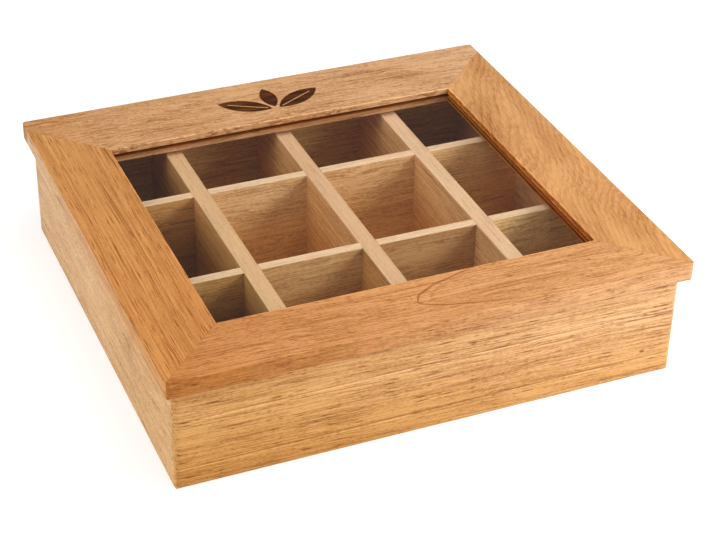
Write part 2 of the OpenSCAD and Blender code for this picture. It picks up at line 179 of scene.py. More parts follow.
class Sheet:
    """The node tree of one material, with short names for what the finishes use."""

    def __init__(self, name):
        self.material = bpy.data.materials.new(name)
        self.material.use_nodes = True
        self.tree = self.material.node_tree
        self.tree.nodes.clear()
        self.coordinates = self.node("ShaderNodeTexCoord")

    def node(self, kind, settings=None, inputs=None):
        """Adds a node, sets it up and then fills its sockets with values or links."""
        made = self.tree.nodes.new(kind)
        for name, value in (settings or {}).items():
            setattr(made, name, value)
        for key, value in (inputs or {}).items():
            if isinstance(value, Value):
                self.tree.links.new(value.socket, made.inputs[key])
            else:
                made.inputs[key].default_value = value
        return made

    def out(self, made, key=0):
        return Value(self, made.outputs[key])

    def math(self, operation, a, b=0.0):
        return self.out(self.node("ShaderNodeMath", {"operation": operation}, {0: a, 1: b}))

    def size_of(self, x):
        return self.math("ABSOLUTE", x)

    def least(self, a, b):
        return self.math("MINIMUM", a, b)

    def most(self, a, b):
        return self.math("MAXIMUM", a, b)

    def rising(self, x, low, high):
        """0 below low, 1 above high and a smooth step between them."""
        return self.out(self.node("ShaderNodeMapRange", {"interpolation_type": "SMOOTHSTEP"},
                                  {"Value": x, "From Min": low, "From Max": high}))

    def falling(self, x, low, high):
        """1 below low, 0 above high and a smooth step between them."""
        return 1 - self.rising(x, low, high)

    def clamp(self, x):
        return self.out(self.node("ShaderNodeClamp", {}, {"Value": x}))

    def vector(self, x, y, z):
        return self.out(self.node("ShaderNodeCombineXYZ", {}, {0: x, 1: y, 2: z}))

    def parts(self, vector):
        made = self.node("ShaderNodeSeparateXYZ", {}, {0: vector})
        return [self.out(made, i) for i in range(3)]

    def blend(self, share, a, b, how="MIX"):
        """Colour a where share is 0; where it is 1, colour b or, for MULTIPLY, a times b."""
        a, b = (c if isinstance(c, Value) else (*c, 1.0) for c in (a, b))
        return self.out(self.node("ShaderNodeMix", {"data_type": "RGBA", "blend_type": how},
                                  {0: share, 6: a, 7: b}), 2)

    def tint(self, share, colour, dye):
        return self.blend(share, colour, dye, "MULTIPLY")

    def noise(self, vector, detail=2.0, rough=0.5):
        return self.out(self.node("ShaderNodeTexNoise", {}, {"Vector": vector, "Scale": 1.0,
                                                             "Detail": detail, "Roughness": rough}))

    def cells(self, vector):
        """Distance to the nearest scattered point, and that point's own random number."""
        made = self.node("ShaderNodeTexVoronoi", {}, {"Vector": vector, "Scale": 1.0})
        return self.out(made), self.parts(self.out(made, 1))[0]

    def place(self):
        """The place on the object in millimetres, as three values."""
        return [c * MM for c in self.parts(self.out(self.coordinates, "Object"))]

    def facing(self):
        """Sizes of the three parts of the surface's normal in the object's own space."""
        return [self.size_of(n) for n in self.parts(self.out(self.coordinates, "Normal"))]

    def finish(self, colour, rough, height=None, relief_mm=0.0, **fixed):
        """Joins the parts into a Principled shader; fixed holds settings that are the same all over."""
        inputs = {"Base Color": colour if isinstance(colour, Value) else (*colour, 1.0), "Roughness": rough}
        if height is not None:
            bump = self.node("ShaderNodeBump", {}, {"Height": height, "Distance": relief_mm / MM,
                                                    "Strength": 1.0})
            inputs["Normal"] = self.out(bump)
        inputs.update(fixed)
        shader = self.node("ShaderNodeBsdfPrincipled", {}, inputs)
        self.node("ShaderNodeOutputMaterial", {}, {0: self.out(shader)})
        return self.material


def dress(node, material):
    """Puts one material on a CAD node."""
    piece = NODES[node]
    if not piece.material_slots:
        piece.data.materials.append(material)
    for slot in piece.material_slots:
        slot.material = material


# Wood

# Dyes: what a mark multiplies the colour of the wood by
DEEP = (0.60, 0.44, 0.28)  # late wood
PORE = (0.29, 0.15, 0.04)  # an open pore
ARRIS_WEAR_AND_HIGHLIGHT = (1.18, 1.24, 1.32)  # an arris that hands have polished, with a painted highlight on it
SHADE_BROWN = (0.60, 0.40, 0.22)  # brown painted shade in the window's opening and on the beads under the pane

PALE = 1.16  # early wood against the mean colour
PLAIN_TONE = 0.3  # share of the deep colour in unmarked wood
RING_MEAN = 0.4  # mean share of late wood in a ring
END_GRAIN = 0.45  # how much deeper end grain is
PITH = (40.0, -120.0)  # middle of the tree, over a board's face and into it, in millimetres
RING_TAPER = 0.03  # by how much a ring's radius grows along the grain
SHEEN = 0.12  # specular level of oiled wood
RELIEF_MM = 0.1  # depth of the deepest pores

# Length and width in millimetres of the waves in the grain
SLOW_WAVE = (110, 45)
QUICK_WAVE = (19, 8)
WAVE_SWING = 4  # millimetres of bend for each step of a board's wander or ripple
BEND_INWARD = 0.6  # bend into the board against the bend over its face
SEED_STEP = 37.7  # how far apart two boards lie in the noise
FLECK_SIZE = (0.4, 0.8)  # length and width of a fleck's pitch against a pore's
FLECK_PLACE = 17.0  # where the flecks lie in the noise

# Streaks that shade the wood: length and width in millimetres, detail, and place in the noise
STREAKS = {
    "fibre": (24, 0.9, 1.0, 0.0),
    "thread": (150, 1.1, 1.0, 3.7),
    "grit": (2.4, 0.9, 1.0, 1.3),
    "band": (260, 9.0, 2.0, 6.1),
    "mottle": (60, 25, 1.0, 8.9),
}

CUT = {  # how strongly each mark shows on a board, and its scale, unless the board says otherwise
    "slope": 0.0,  # rise of the grain over the board's face
    "wander": 2.5,  # slow bends of the grain
    "ripple": 0.4,  # quick bends of the grain
    "ring": 0.10,
    "ring_size": 1.0,
    "fibre": 1.2,
    "thread": 1.1,
    "grit": 1.0,
    "band": 0.5,
    "mottle": 0.5,
    "vessel": 0.9,  # long open pores
    "vessel_fill": 0.35,  # share of the places that hold one
    "vessel_size": (1.0, 1.0),  # length and width against the wood's pore pitch
    "clump": 2.0,  # how much the pores gather
    "fleck": 0.6,  # short pores
    "fleck_fill": 0.4,
    "hairline": 0.4,
    "ends": None,  # dyes of the grain's low and high end
}


class Board:
    """One board: its material sheet, its own directions and the marks that its wood carries.

    grain, across and through name the object's axes that run with the grain, over the board's face
    and into it."""

    def __init__(self, node, colour, grain, across, through, seed, **cut):
        self.node = node
        self.colour = tuple(colour)
        self.cut = {**CUT, **cut}
        self.sheet = sheet = Sheet(node + "_wood")
        self.x, self.y, self.z = self.xyz = sheet.place()
        self.axes = ["xyz".index(a) for a in (grain, across, through)]
        self.shift = SEED_STEP * seed
        u, v, w = (self.xyz[i] for i in self.axes)
        (long, wide), (short, narrow) = SLOW_WAVE, QUICK_WAVE
        slow = sheet.noise(sheet.vector(u / long + self.shift, v / wide, w / wide), detail=1.0) - 0.5
        quick = sheet.noise(sheet.vector(u / short, v / narrow + self.shift, w / narrow), detail=1.0) - 0.5
        wander, ripple = (WAVE_SWING * self.cut[name] for name in ("wander", "ripple"))
        bend = slow * wander + quick * ripple + u * self.cut["slope"]
        self.u = u
        self.v = v + bend
        self.w = w + bend * BEND_INWARD

    def stretched(self, along, across, detail=2.0, offset=0.0):
        """Noise drawn out along the grain, from -0.5 to 0.5."""
        spot = self.sheet.vector(self.u / along + offset, self.v / across + self.shift, self.w / across)
        return self.sheet.noise(spot, detail) - 0.5

    def rings(self, width):
        """Late wood, which comes on over each ring and ends sharply. A ring is a slightly tapered
        cylinder about the pith."""
        sheet = self.sheet
        dv = self.v - PITH[0]
        dw = self.w - PITH[1]
        radius = sheet.math("SQRT", dv * dv + dw * dw) + self.u * RING_TAPER
        turn = sheet.math("FRACT", radius / width)
        return sheet.rising(turn, 0.2, 0.85) * sheet.falling(turn, 0.88, 1.0)

    def pores(self, length, width, fill, offset):
        """Short dark dashes with the grain: stretched cells, of which a share holds a pore."""
        sheet = self.sheet
        distance, lot = sheet.cells(sheet.vector(self.u / length + offset + self.shift, self.v / width,
                                                 self.w / width))
        clump = self.stretched(2 * length, 5 * width, 1.0, offset=offset)
        present = sheet.rising(lot + clump * self.cut["clump"], 1 - fill, 1.2 - fill)
        return sheet.falling(distance, 0.12, 0.34) * present

    def lines(self):
        """Long hairlines: where a slow stretched noise passes its middle value."""
        sheet = self.sheet
        level = sheet.size_of(self.stretched(220, 3.2, 1.0, offset=5.3))
        patch = sheet.rising(self.stretched(80, 9, 1.0, offset=2.1), -0.05, 0.12)
        return sheet.falling(level, 0.004, 0.03) * patch

    def build(self, wood, extra=None):
        """Lays the marks over each other and puts the material on the board. extra adds its own."""
        sheet, cut = self.sheet, self.cut
        length = wood.pore_length * MM * cut["vessel_size"][0]
        width = wood.pore_width * MM * cut["vessel_size"][1]
        vessel = self.pores(length, width, cut["vessel_fill"], 0.0)
        fleck = self.pores(length * FLECK_SIZE[0], width * FLECK_SIZE[1], cut["fleck_fill"], FLECK_PLACE)
        line = self.lines()
        streaks = {name: self.stretched(*sizes) for name, sizes in STREAKS.items()}
        ring = self.rings(wood.ring_width * MM * cut["ring_size"])

        tone = sum(streaks[name] * cut[name] for name in STREAKS)
        tone = sheet.clamp(tone + (ring - RING_MEAN) * cut["ring"] + PLAIN_TONE)
        pale = tuple(min(1.0, c * PALE) for c in self.colour)
        colour = sheet.blend(tone, pale, dyed(self.colour, DEEP))
        for mark, strength in ((line, "hairline"), (fleck, "fleck"), (vessel, "vessel")):
            colour = sheet.tint(mark * cut[strength], colour, PORE)

        if cut["ends"]:
            low, high = (corner[self.axes[0]] for corner in corners_mm(self.node))
            colour = sheet.tint(1.0, colour, sheet.blend(sheet.rising(self.u, low, high), *cut["ends"]))

        facing = sheet.facing()
        end_grain = sheet.rising(facing[self.axes[0]], 0.75, 0.95)
        colour = sheet.tint(end_grain * END_GRAIN, colour, DEEP)
        flat = sheet.most(sheet.most(facing[0], facing[1]), facing[2])
        # Rounded arrises turn paler: partly wear, partly a painted highlight
        rubbed = sheet.falling(flat, 0.93, 0.995) * sheet.rising(self.stretched(14, 6), -0.12, 0.12)
        colour = sheet.tint(rubbed * wood.wear, colour, ARRIS_WEAR_AND_HIGHLIGHT)
        if extra:
            colour = extra(self, colour)

        # Pores are the roughest spots, and all marks are sunk by a share of the relief
        fibre, grit = streaks["fibre"], streaks["grit"]
        rough = 0.55 + vessel * 0.25 + fibre * 0.1
        height = 1 - vessel * 0.8 - fleck * 0.4 - fibre * 0.5 - grit * 0.4
        sheet.finish(colour, rough, height, RELIEF_MM, **{"Specular IOR Level": SHEEN})
        dress(self.node, sheet.material)


def dyed(colour, dye):
    return tuple(c * d for c, d in zip(colour, dye))


# Marks of single boards. Their distances are in millimetres, and a pair of them says where a mark fades.

BACK_MITRE = BACK_LOW[1] + LID_HALF_W - SIDE_LOW[0]  # where the back mitres would meet the lid's sides
SEAM_SHARE = 0.15
ARRIS_HIGHLIGHT = (1.20, 1.24, 1.24)


def mitre_seams(board, colour):
    """Thin darker lines where the rails meet at 45 degrees."""
    sheet = board.sheet
    inset = LID_HALF_W - sheet.size_of(board.x)
    front = sheet.size_of(inset - (board.y - FRONT_LOW[1]))
    back = sheet.size_of(inset - (BACK_MITRE - board.y))
    line = sheet.falling(sheet.least(front, back) * math.sqrt(0.5), 0.1, 0.45)
    return sheet.tint(line * SEAM_SHARE, colour, PORE)


def painted_window_edge(board, colour, share, dye=SHADE_BROWN):
    """The faces round the window are browner with painted shade, and their upper arris is paler with a
    painted highlight.
    """
    sheet = board.sheet
    if board.axes[0] == 1:
        inset = sheet.size_of(board.x) - SIDE_LOW[0]
    else:
        inset = sheet.least(sheet.size_of(board.y - BACK_LOW[1]), sheet.size_of(board.y - FRONT_HIGH[1]))
    above = sheet.rising(board.z, LID_TOP - 0.8, LID_TOP - 0.3)
    # Painted highlight on the upper arris, painted shade on the faces below it
    colour = sheet.tint(sheet.falling(inset, 0.5, 1.4) * above, colour, ARRIS_HIGHLIGHT)
    return sheet.tint(sheet.falling(inset, 0.15, 0.4) * (1 - above) * share, colour, dye)


BEAD_FOOT, BEAD_HEAD = BEAD_LOW[2], BEAD_HIGH[2]
BEAD_FOOT_HIGHLIGHT = (1.27, 1.66, 2.0)
BEAD_JOINT_SHADOW = (0.50, 0.23, 0.03)
# Painted shade over the side beads, redder at the front
SIDE_BEAD_BACK, SIDE_BEAD_FRONT = (0.86, 0.72, 0.42), (0.90, 0.60, 0.38)
SIDE_BEAD_SHADE = (0.20, 0.10, 0.02)
SIDE_BEAD_FOOT_HIGHLIGHT = (1.55, 2.5, 6.0)
FORWARD = (-80.0, 40.0)  # y over which the redder stain beside the window fades towards the back


def bead_marks(board, colour):
    """Painted shade darkens the bead towards the pane, darkest at the joint, and gives way to a painted
    highlight on the lower edge.
    """
    sheet = board.sheet
    colour = sheet.tint(sheet.rising(board.z, BEAD_FOOT + 0.8, BEAD_HEAD) * 0.6, colour, SHADE_BROWN)
    colour = sheet.tint(sheet.falling(board.z, BEAD_FOOT + 0.4, BEAD_FOOT + 2.2), colour, BEAD_FOOT_HIGHLIGHT)
    return sheet.tint(sheet.rising(board.z, BEAD_HEAD - 0.7, BEAD_HEAD - 0.1), colour, BEAD_JOINT_SHADOW)


def side_bead_marks(board, colour):
    """The beads at the sides are darker with painted shade, most of all halfway up, redder at the front and
    paler at the foot with a painted highlight.
    """
    sheet = board.sheet
    forward = sheet.falling(board.y, *FORWARD)
    colour = sheet.tint(1.0, colour, sheet.blend(forward, SIDE_BEAD_BACK, SIDE_BEAD_FRONT))
    middle = sheet.rising(board.z, BEAD_FOOT + 1.2, BEAD_FOOT + 2.4)
    middle = middle * sheet.falling(board.z, BEAD_HEAD - 1.4, BEAD_HEAD - 0.4)
    colour = sheet.tint(middle, colour, SIDE_BEAD_SHADE)
    return sheet.tint(sheet.falling(board.z, BEAD_FOOT + 0.6, BEAD_FOOT + 1.3), colour, SIDE_BEAD_FOOT_HIGHLIGHT)


MOTIF_FOOT = BACK_LOW[1] + 15.0  # where the stalks of the motif's leaves would meet
STALK = 3.0
BURN_DEPTH = 0.5
LEAVES = ((90.0, 27.0, 11.0), (28.0, 38.0, 15.0))  # direction in degrees, length and width


def beyond_leaf(board, direction, length, width):
    """Distance outside a pointed leaf, which is where two equal circles overlap, mirrored about x = 0."""
    sheet = board.sheet
    turn = math.radians(direction)
    radius = (length * length + width * width) / (4 * width)
    x = sheet.size_of(board.x)
    y = board.y - MOTIF_FOOT
    along = x * math.cos(turn) + y * math.sin(turn) - (STALK + length / 2)
    across = sheet.size_of(y * math.cos(turn) - x * math.sin(turn)) + (radius - width / 2)
    return sheet.math("SQRT", along * along + across * across) - radius


def burnt_leaves(board, colour):
    """Dark brown inside the sunk leaves, and a faint scorched rim about them."""
    sheet, burn = board.sheet, tuple(bpy.context.scene.tea_box_wood.burn)
    beyond = sheet.least(*(beyond_leaf(board, *leaf) for leaf in LEAVES))
    depth = LID_TOP - board.z
    near = sheet.falling(beyond, 0.2, 0.6)
    sunk = sheet.rising(depth, 0.02, 0.10) * sheet.falling(depth, BURN_DEPTH + 0.1, BURN_DEPTH + 0.3)
    rim = sheet.falling(beyond, 0.0, 1.1) * sheet.falling(depth, 0.0, 0.7)
    colour = sheet.tint(rim * 0.5, colour, DEEP)
    grainy = sheet.rising(board.stretched(30, 5, offset=4.4), -0.15, 0.2)
    charred = sheet.blend(grainy, tuple(c * 0.7 for c in burn), tuple(c * 1.9 for c in burn))
    return sheet.blend(sunk * near, colour, charred)


def torn_arris(board, colour):
    """Small chips of torn grain along the back rail's edge over the window."""
    sheet = board.sheet
    ragged = sheet.rising(sheet.noise(sheet.vector(board.x / 5, board.y / 1.6, board.z / 1.6)), 0.52, 0.60)
    patch = sheet.rising(sheet.noise(sheet.vector(board.x / 28, 3.3, 0.0), 1.0), 0.42, 0.58)
    chip = ragged * patch * sheet.falling(board.y - BACK_LOW[1], 0.5, 2.6)
    return sheet.tint(chip * 0.6, colour, PORE)


END_START, END_FULL = LID_HALF_W - 55.0, LID_HALF_W - 10.0  # x over which a rail's end takes its shade
BACK_RAIL_LEFT, BACK_RAIL_RIGHT = (0.97, 0.91, 0.81), (1.06, 1.10, 1.18)
# share of painted shade on the back rail's face in the opening
BACK_RAIL_EDGE_SHADE = 0.14


def back_rail_marks(board, colour):
    """A yellower left end and a paler right end, painted shade and highlight at the window's edge, chips
    over the window and the burnt motif.
    """
    sheet = board.sheet
    colour = sheet.tint(sheet.falling(board.x, -END_FULL, -END_START), colour, BACK_RAIL_LEFT)
    colour = sheet.tint(sheet.rising(board.x, END_START, END_FULL), colour, BACK_RAIL_RIGHT)
    colour = painted_window_edge(board, mitre_seams(board, colour), BACK_RAIL_EDGE_SHADE)
    return burnt_leaves(board, torn_arris(board, colour))


WINDOW_SIDE_SHADE = (0.85, 0.66, 0.26)
STREAK_PALE, STREAK_DARK = (1.20, 1.10, 1.05), (0.66, 0.50, 0.42)
FORWARD_STAIN = (0.97, 0.84, 0.92)
OVER_PANE = (1.45, 1.62, 2.3)


def side_rail_marks(board, colour):
    """Faces beside the window carry painted shade in brown streaks, redder at the front and paler above the
    pane.
    """
    sheet = board.sheet
    colour = painted_window_edge(board, mitre_seams(board, colour), 0.95, WINDOW_SIDE_SHADE)
    inner = sheet.falling(sheet.size_of(board.x) - SIDE_LOW[0], 0.15, 0.4)
    low = sheet.falling(board.z, LID_TOP - 3.6, LID_TOP - 2.4)
    streak = sheet.rising(sheet.noise(sheet.vector(board.y / 7, board.z / 0.9, 0.0)), 0.40, 0.60)
    # Painted shade on the inner faces, in streaks
    colour = sheet.tint(inner, colour, sheet.blend(streak, STREAK_PALE, STREAK_DARK))
    colour = sheet.tint(inner * sheet.falling(board.y, *FORWARD), colour, FORWARD_STAIN)
    return sheet.tint(inner * low, colour, OVER_PANE)


LEFT_FACE_LIGHT_FRONT, LEFT_FACE_LIGHT_BACK = (1.05, 1.15, 1.13), (1.11, 1.48, 2.50)
LEFT_RAIL_BACK = (1.03, 1.07, 1.09)
BACKWARD = (70.0, 125.0)  # y over which the left rail turns paler


def left_rail_marks(board, colour):
    """The outer face has painted light, paler than the top, most of all towards the back, where the top is
    paler too.
    """
    sheet = board.sheet
    outer = sheet.falling(board.x + LID_HALF_W, 2.5, 3.5) * sheet.rising(sheet.facing()[0], 0.85, 0.98)
    along = sheet.rising(board.y, SIDE_LOW[1], SIDE_HIGH[1])
    colour = sheet.tint(sheet.rising(board.y, *BACKWARD), colour, LEFT_RAIL_BACK)
    # Painted light on the outer face
    paler = sheet.blend(along, LEFT_FACE_LIGHT_FRONT, LEFT_FACE_LIGHT_BACK)
    return sheet.tint(outer, side_rail_marks(board, colour), paler)


RING_TIP = (-6.5, FRONT_LOW[1] + 22.5)  # place of the tip on the front rail
RING_BOW = 0.15  # bend of the ring's nearer arm, in 1/mm
RING_BOW_LESS = 0.11  # by how much the farther arm bends less
RING_LINE = (0.52, 0.30, 0.17)
RING_NESTED = 9.0  # from the ring's tip to the fainter one inside it
RING_FADE = (24.0, 60.0)  # x over which both fade


def ring_tip(board, colour):
    """The tip of a growth ring, a parabola open to the right with a fainter one nested in it."""
    sheet = board.sheet
    y = board.y - RING_TIP[1]
    bow = RING_BOW - (sheet.rising(y, -6.0, 6.0) - 0.5) * RING_BOW_LESS
    slope = y * bow * 2.0
    steep = sheet.math("SQRT", slope * slope + 1.0)
    ahead = board.x - RING_TIP[0] - y * y * bow + board.stretched(18, 6, 1.0) * 6
    fade = sheet.falling(board.x, *RING_FADE) * sheet.rising(board.z, LID_TOP - 2.0, LID_TOP - 1.0)
    line = sheet.falling(sheet.size_of(ahead / steep), 0.35, 1.0)
    inner = sheet.falling(sheet.size_of((ahead - RING_NESTED) / steep), 0.3, 1.6)
    colour = sheet.tint(line * fade * 0.75, colour, RING_LINE)
    return sheet.tint(inner * fade * 0.3, colour, DEEP)


# Painted light and shade on the front face, darker at the left over the wood's own deeper colour there
FRONT_FACE_LIGHT_LEFT, FRONT_FACE_LIGHT_RIGHT = (0.79, 0.69, 0.41), (1.01, 1.07, 1.20)
FRONT_RAIL_LEFT = (0.90, 0.84, 0.74)
FACE_PALE = 60.0  # x from which the front face has its paler painted light


def front_rail_marks(board, colour):
    """The ring tip on top, a deeper left end, painted light and shade on the front face and painted shadow
    at its foot.
    """
    sheet = board.sheet
    front = sheet.falling(board.y - FRONT_LOW[1], 3.0, 4.0)
    face = sheet.falling(sheet.facing()[2], 0.5, 0.9) * front
    along = sheet.rising(board.x, -LID_HALF_W, FACE_PALE)
    colour = sheet.tint(face, colour, sheet.blend(along, FRONT_FACE_LIGHT_LEFT, FRONT_FACE_LIGHT_RIGHT))
    # Painted shadow in broken dashes along the lower arris, where the lid meets the wall
    ragged = sheet.rising(sheet.noise(sheet.vector(board.x / 9, board.y / 2, board.z / 1.2)), 0.5, 0.6)
    chip = ragged * sheet.falling(board.z - FRONT_LOW[2], 0.9, 1.7)
    colour = sheet.tint(chip * front * 0.8, colour, PORE)
    end = sheet.falling(board.x, 15.0 - LID_HALF_W, -END_START)
    colour = sheet.tint(end * (1 - face), colour, FRONT_RAIL_LEFT)
    return ring_tip(board, painted_window_edge(board, mitre_seams(board, colour), 0.5))


WALL_START = -LID_HALF_W  # an x left of the wall
# Pale lines of the front wall: height on the wall, strength, and the x that each has its strength from
PALE_LINES = ((46.8, 1.0, WALL_START), (26.5, 0.7, 60.0), (13.3, 1.0, WALL_START))
LINE_LEAD = 40.0  # how far before that each sets in
PALE_LINE = (1.16, 1.24, 1.36)
KNOT = (141.0, 19.0)  # x and z of its middle
KNOT_HALF = (1.7, 0.9)
WALL_HEAD, WALL_FOOT = (1.03, 1.05, 1.07), (0.91, 0.85, 0.66)


def front_wall_marks(board, colour):
    """Pale lines with the grain, each with a dark one above, a small knot, and a paler top over darker,
    yellower colour low down.
    """
    sheet = board.sheet
    drift = board.stretched(150, 30, 1.0, offset=9.7) * 2
    for height, strength, start in PALE_LINES:
        level = board.z - height + drift
        share = sheet.rising(board.x, start - LINE_LEAD, start) * strength
        pale = sheet.falling(sheet.size_of(level), 0.3, 0.8)
        above = sheet.falling(sheet.size_of(level - 1.1), 0.2, 0.8)
        colour = sheet.tint(pale * share, colour, PALE_LINE)
        colour = sheet.tint(above * share * 0.35, colour, PORE)
    dx = (board.x - KNOT[0]) / KNOT_HALF[0]
    dz = (board.z - KNOT[1]) / KNOT_HALF[1]
    knot = sheet.falling(sheet.math("SQRT", dx * dx + dz * dz), 0.5, 1.5)
    colour = sheet.tint(knot * 0.8, colour, PORE)
    colour = sheet.tint(sheet.rising(board.z, 30.0, 50.0), colour, WALL_HEAD)
    return sheet.tint(sheet.falling(board.z, 4.0, 50.0), colour, WALL_FOOT)


FRONT_CORNER_SHADE = (0.93, 0.86, 0.68)
WALL_INSIDE = (0.99, 1.08, 0.86)


def left_wall_marks(board, colour):
    """Painted shade on the rounded upright corner where it turns to the front, as deep in colour as the
    front wall.
    """
    sheet = board.sheet
    facing = sheet.facing()
    turned = sheet.falling(facing[0], 0.85, 0.99) * sheet.falling(facing[2], 0.5, 0.9)
    return sheet.tint(turned * sheet.falling(board.y - WALL_LOW[1], 4.0, 6.0), colour, FRONT_CORNER_SHADE)


def back_wall_marks(board, colour):
    """The wood is yellower on the side that faces the compartments."""
    sheet = board.sheet
    return sheet.tint(sheet.falling(board.y - ROW_END, 1.0, 2.0), colour, WALL_INSIDE)


# Painted shade low down in the compartments
DIVIDER_LOW_SHADE = (0.98, 0.88, 0.64)
CROSSING_BLEND = 2.0  # half of the stretch over which the painted light and shade change at a crossing
EVEN_SANDING = 0.55  # how far the sanding has evened out the grain of the top edges


def divider_marks(board, colour):
    """Sanding evens the top edges and painted light makes them paler; painted shade deepens low in the
    compartments and in the left ones. Each stretch between two crossings has its own painted light and
    shade, which the cut holds."""
    sheet = board.sheet
    cell_light_and_shade, sanded_and_lit, left_cell_shade = (board.cut[name] for name in ("cell_light_and_shade", "sanded_and_lit", "left_cell_shade"))

    def past(place, crossing):
        return sheet.rising(place, crossing - CROSSING_BLEND, crossing + CROSSING_BLEND)

    top = sheet.rising(board.z, WALL_HIGH[2] - 0.9, WALL_HIGH[2] - 0.3)
    low = sheet.falling(board.z, 20.0, WALL_HIGH[2] - 6.0)
    long_way = board.axes[0] == 1
    crossings = (-ROW_CROSSING, ROW_CROSSING) if long_way else (LEFT_CROSSING, 0.0, -LEFT_CROSSING)
    # Painted light and shade of each compartment, then painted shade low down and in the left compartments
    shade = cell_light_and_shade[0]
    for crossing, other in zip(crossings, cell_light_and_shade[1:]):
        shade = sheet.blend(past(board.xyz[board.axes[0]], crossing), shade, other)
    side = sheet.tint(1.0, colour, shade)
    side = sheet.tint(low, side, DIVIDER_LOW_SHADE)
    side = sheet.tint((1 - past(board.x, LEFT_CROSSING)) * low, side, left_cell_shade)
    # Top edges: grain evened by sanding, paler with painted light
    edge = sheet.blend(EVEN_SANDING, sheet.tint(1.0, colour, sanded_and_lit), dyed(board.colour, sanded_and_lit))
    return sheet.blend(top, side, edge)


class TEABOX_OT_lid_rails(Operator):
    """Finish the four boards that frame the window"""
    bl_idname = "tea_box.lid_rails"
    bl_label = "Lid rails"

    def execute(self, context):
        wood = context.scene.tea_box_wood
        Board("lid_front_rail", wood.front_rail, "x", "y", "z", 1, vessel=0.75, vessel_size=(0.45, 0.65),
              vessel_fill=0.5, fibre=1.35, fleck=0.7, slope=0.04,
              ends=((0.95, 0.88, 0.80), (1.05, 1.14, 1.28))).build(wood, front_rail_marks)
        Board("lid_back_rail", wood.back_rail, "x", "y", "z", 2, ripple=1.5, fibre=1.7, vessel_fill=0.1,
              vessel=0.45, fleck=0.5, grit=1.5, mottle=0.9, slope=0.06,
              ends=((0.97, 0.95, 0.90), (1.03, 1.07, 1.13))).build(wood, back_rail_marks)
        Board("lid_left_rail", wood.left_rail, "y", "x", "z", 3, vessel_size=(0.95, 0.55), vessel=1.0,
              vessel_fill=0.5, thread=1.0, fibre=1.0, band=0.25, mottle=0.3, hairline=0.6, wander=1.2,
              ripple=0.12, fleck=0.4, fleck_fill=0.2, grit=0.6,
              ends=((0.99, 0.96, 0.92), (1.01, 1.04, 1.10))).build(wood, left_rail_marks)
        Board("lid_right_rail", wood.right_rail, "y", "x", "z", 4, slope=-0.24, wander=4.0, ripple=0.4,
              fibre=0.5, thread=0.8, band=0.8, mottle=1.0, ring=0.22, ring_size=0.32, hairline=0.3,
              vessel_fill=0.05, vessel=0.4, vessel_size=(0.5, 0.8), fleck=0.35, fleck_fill=0.15, grit=0.5,
              ends=((0.99, 0.98, 0.95), (1.02, 1.05, 1.10))).build(wood, side_rail_marks)
        return {"FINISHED"}


class TEABOX_OT_walls(Operator):
    """Finish the four walls of the box"""
    bl_idname = "tea_box.walls"
    bl_label = "Walls"

    def execute(self, context):
        wood = context.scene.tea_box_wood
        Board("front_wall", wood.front_wall, "x", "z", "y", 5, vessel=1.0, vessel_fill=0.32, fibre=1.1,
              vessel_size=(0.75, 0.88), clump=1.0, thread=1.6, grit=1.1, band=0.35, wander=0.8,
              ripple=0.15, hairline=0.6, slope=0.03, fleck=0.9, fleck_fill=0.3,
              ends=((0.91, 0.87, 0.745), (1.04, 1.10, 1.35))).build(wood, front_wall_marks)
        Board("back_wall", wood.back_wall, "x", "z", "y", 6).build(wood, back_wall_marks)
        Board("left_wall", wood.side_walls, "y", "z", "x", 7, vessel=0.3, vessel_fill=0.15, fleck=0.55,
              hairline=0.15, thread=0.9, fibre=1.5, grit=1.4,
              ends=((0.98, 0.97, 0.92), (1.02, 1.07, 1.20))).build(wood, left_wall_marks)
        Board("right_wall", wood.side_walls, "y", "z", "x", 8, vessel=0.4, vessel_fill=0.25).build(wood)
        return {"FINISHED"}


class TEABOX_OT_dividers(Operator):
    """Finish the crossing dividers inside the box"""
    bl_idname = "tea_box.dividers"
    bl_label = "Dividers"

    def execute(self, context):
        wood = context.scene.tea_box_wood
        even = (1.0, 1.0, 1.0)
        # Per divider: painted light on its top, and painted light and shade of each compartment
        for seed, (side, sanded_and_lit, cell_light_and_shade) in enumerate((
                ("left", (0.99, 1.06, 1.26), ((0.87, 0.84, 0.58), (1.04, 1.01, 0.77), (0.92, 0.84, 0.60))),
                ("middle", (0.97, 1.03, 1.32), ((0.79, 0.68, 0.46), (0.97, 0.94, 0.82), (0.94, 0.90, 0.78))),
                ("right", (1.06, 1.19, 1.62), (even, even, even)))):
            Board("long_divider_" + side, wood.dividers, "y", "z", "x", 10 + seed, vessel=0.3,
                  vessel_fill=0.1, vessel_size=(0.6, 0.8), fleck=0.3, cell_light_and_shade=cell_light_and_shade, sanded_and_lit=sanded_and_lit,
                  left_cell_shade=(0.61, 0.62, 0.31)).build(wood, divider_marks)
        for seed, (side, left_cell_shade, cell_light_and_shade) in enumerate((
                ("front", (0.37, 0.34, 0.16),
                 ((0.88, 0.85, 0.60), (1.01, 1.07, 1.04), (0.81, 0.80, 0.75), (1.42, 1.75, 1.85))),
                ("back", (0.47, 0.45, 0.28),
                 ((0.90, 0.81, 0.60), (1.10, 1.24, 1.38), (1.10, 1.20, 1.28), (1.2, 1.3, 1.3))))):
            Board("cross_divider_" + side, wood.dividers, "x", "z", "y", 14 + seed, ripple=1.2, ring=0.2,
                  vessel=0.4, vessel_fill=0.2, vessel_size=(0.6, 0.8), fleck=0.4, cell_light_and_shade=cell_light_and_shade,
                  sanded_and_lit=(1.12, 1.34, 1.90), left_cell_shade=left_cell_shade).build(wood, divider_marks)
        return {"FINISHED"}


